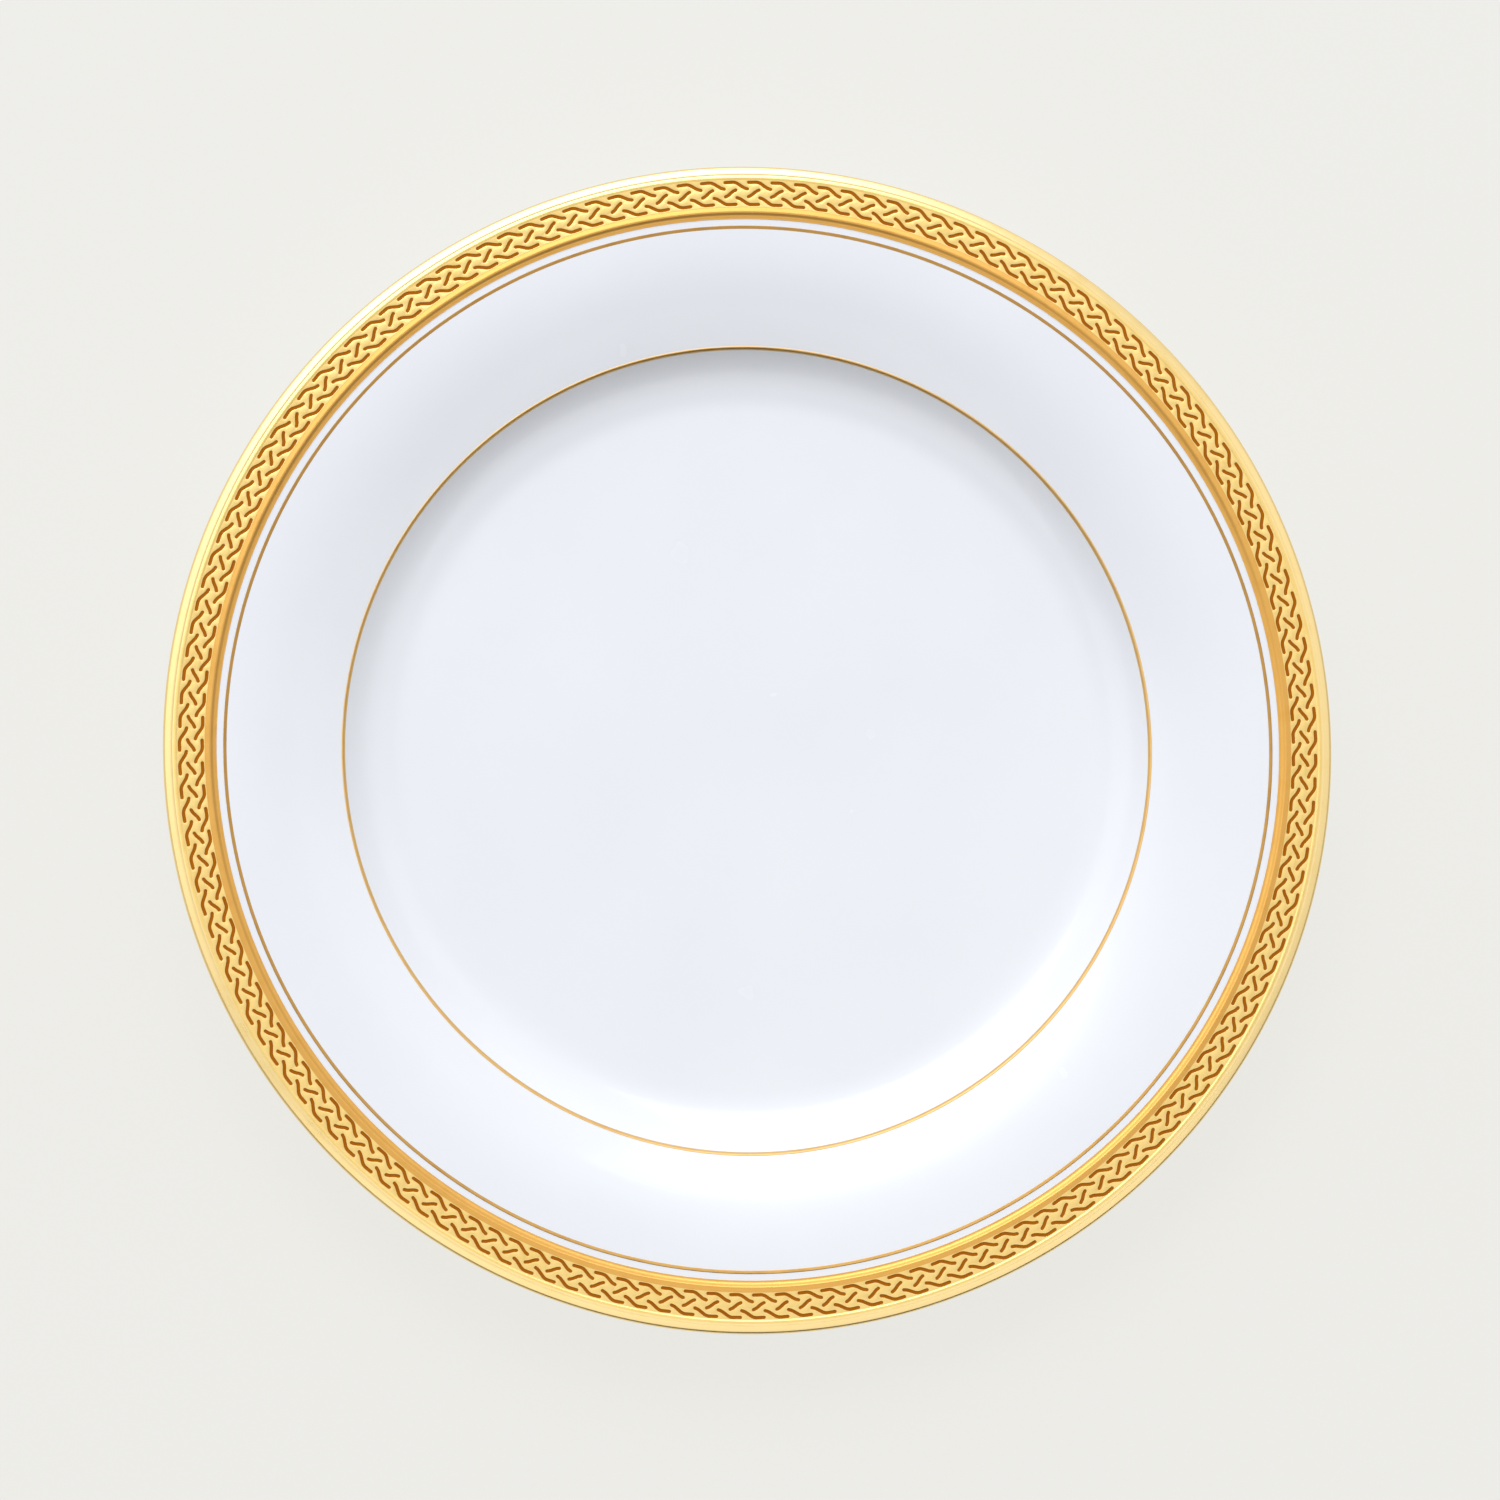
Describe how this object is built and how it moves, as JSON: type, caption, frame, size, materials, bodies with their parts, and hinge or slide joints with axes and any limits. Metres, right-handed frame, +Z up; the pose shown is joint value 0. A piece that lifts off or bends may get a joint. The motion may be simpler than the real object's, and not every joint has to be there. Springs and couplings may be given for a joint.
{
  "type": "dinner plate",
  "caption": "Round rimmed china dinner plate on a foot ring, with a broad gilded band etched with a plaited border and fine gold lines at the verge and flange.",
  "frame": {"origin": "centre of the foot ring's bearing face, on the table that the plate stands on", "axes": "+Z up along the plate's axis, out of the well; +X and +Y lie in the table's plane, and the plate is round, so their direction only sets the phase of the braid"},
  "size_m": [0.267, 0.267, 0.02],
  "materials": {
    "bisque": "matte",
    "glaze": "gloss",
    "burnished_gold": "satin",
    "etched_gold": "matte",
    "line_gold": "satin"
  },
  "bodies": {
    "root": {"china_body": "bisque", "glaze_coat": "glaze", "base_glaze": "glaze", "verge_line": "line_gold", "flange_line": "line_gold", "inner_bead_gold": "burnished_gold", "braid_ground_gold": "burnished_gold", "outer_bead_gold": "burnished_gold", "lip_gold": "burnished_gold", "braid_outer_strokes": "etched_gold", "braid_middle_strokes": "etched_gold", "braid_inner_strokes": "etched_gold"}
  },
  "joints": []
}
